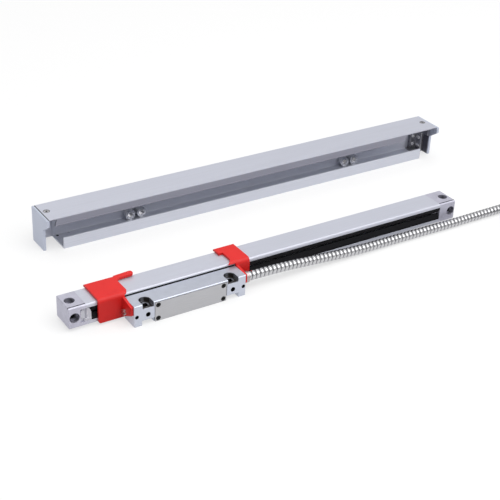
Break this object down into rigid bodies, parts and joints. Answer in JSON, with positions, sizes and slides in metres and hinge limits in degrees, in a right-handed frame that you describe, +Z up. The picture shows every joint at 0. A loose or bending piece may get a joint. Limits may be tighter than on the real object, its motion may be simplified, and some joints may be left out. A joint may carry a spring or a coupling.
{
  "type": "linear glass scale",
  "caption": "Sealed linear encoder: slim aluminium housing with rubber lips and a glass scale, sliding reader head with armoured cable, red transport brackets and a loose protective cover.",
  "frame": {"origin": "the bottom mouth of the upright mounting hole in the left end block", "axes": "+X along the scale towards the cable's coil, +Y from the reader head towards the housing's back, +Z up"},
  "size_m": [0.5552, 0.3002, 0.0335],
  "materials": {
    "anodised_aluminium": "satin anodised",
    "black_insert": "moulded, with gold pins",
    "black_rubber": "matt",
    "black_screws": "black oxide",
    "bright_steel": "polished",
    "brushed_plate": "brushed, bare",
    "carriage_alloy": "machined",
    "cast_alloy": "fine blasted casting",
    "circuit_board": "solder mask",
    "clear_clamp": "pale moulded plastic",
    "grey_plastic": "moulded",
    "head_casting": "satin machined casting",
    "lamp_body": "moulded",
    "nickel_brass": "nickel plated brass",
    "red_plastic": "moulded red",
    "scale_glass": "polished, with a chromium track",
    "steel_armour": "interlocked stainless strip",
    "zinc_screws": "zinc plated"
  },
  "bodies": {
    "scale": {"cover_bracket_left": "bright_steel", "cover_bracket_right": "bright_steel", "cover_end_left": "anodised_aluminium", "cover_end_right": "anodised_aluminium", "cover_rail": "anodised_aluminium", "cover_screws": "zinc_screws", "cover_shell": "anodised_aluminium", "end_block_left": "cast_alloy", "end_block_right": "cast_alloy", "end_block_screws": "zinc_screws", "glass_bedding": "black_rubber", "glass_scale": "scale_glass", "housing": "anodised_aluminium", "lip_clamp": "clear_clamp", "lower_lip": "black_rubber", "rail_bolts": "bright_steel", "upper_lip": "black_rubber"},
    "head": {"carriage_frame": "carriage_alloy", "roller_axles": "bright_steel", "light_source": "lamp_body", "detector_board": "circuit_board", "index_grating": "scale_glass", "head_body": "head_casting", "head_plate": "brushed_plate", "head_gasket": "black_rubber", "head_plate_screws": "black_screws", "head_board": "circuit_board", "coupling_blade": "bright_steel", "coupling_wire": "bright_steel", "left_bracket": "red_plastic", "right_bracket": "red_plastic", "bracket_screws": "zinc_screws", "cable_gland": "nickel_brass", "cable": "steel_armour", "cable_tail": "steel_armour", "cable_coil": "steel_armour", "connector_hood": "grey_plastic", "connector_shell": "bright_steel", "connector_pins": "black_insert"},
    "thumbscrew_front": {"thumbscrew_front": "zinc_screws"},
    "thumbscrew_back": {"thumbscrew_back": "zinc_screws"},
    "roller_1": {"roller_1": "bright_steel"},
    "roller_2": {"roller_2": "bright_steel"},
    "roller_3": {"roller_3": "bright_steel"},
    "roller_4": {"roller_4": "bright_steel"},
    "roller_5": {"roller_5": "bright_steel"}
  },
  "joints": [
    {"name": "head_slide", "type": "slide", "parent": "scale", "child": "head", "axis": [1, 0, 0], "range_m": [-0.0325, 0.2255]},
    {"name": "roller_1_spin", "type": "hinge", "parent": "head", "child": "roller_1", "pos_m": [0.0625, 0.0007, 0.0058], "axis": [0, 0, 1], "continuous": true},
    {"name": "roller_2_spin", "type": "hinge", "parent": "head", "child": "roller_2", "pos_m": [0.0985, 0.0007, 0.0058], "axis": [0, 0, 1], "continuous": true},
    {"name": "roller_3_spin", "type": "hinge", "parent": "head", "child": "roller_3", "pos_m": [0.1225, 0.0007, 0.0058], "axis": [0, 0, 1], "continuous": true},
    {"name": "roller_4_spin", "type": "hinge", "parent": "head", "child": "roller_4", "pos_m": [0.0685, 0.0045, 0.0127], "axis": [0, 1, 0], "continuous": true},
    {"name": "roller_5_spin", "type": "hinge", "parent": "head", "child": "roller_5", "pos_m": [0.1165, 0.0045, 0.0127], "axis": [0, 1, 0], "continuous": true},
    {"name": "thumbscrew_front_turn", "type": "hinge", "parent": "head", "child": "thumbscrew_front", "pos_m": [0.376, -0.1591, 0.0052], "axis": [1, 0, 0], "continuous": true},
    {"name": "thumbscrew_back_turn", "type": "hinge", "parent": "head", "child": "thumbscrew_back", "pos_m": [0.376, -0.1341, 0.0052], "axis": [1, 0, 0], "continuous": true}
  ],
  "couplings": [
    {"joint": "roller_1_spin", "follows": "head_slide", "rad_per_m": 400},
    {"joint": "roller_2_spin", "follows": "head_slide", "rad_per_m": 400},
    {"joint": "roller_3_spin", "follows": "head_slide", "rad_per_m": 400},
    {"joint": "roller_4_spin", "follows": "head_slide", "rad_per_m": 400},
    {"joint": "roller_5_spin", "follows": "head_slide", "rad_per_m": 400}
  ]
}
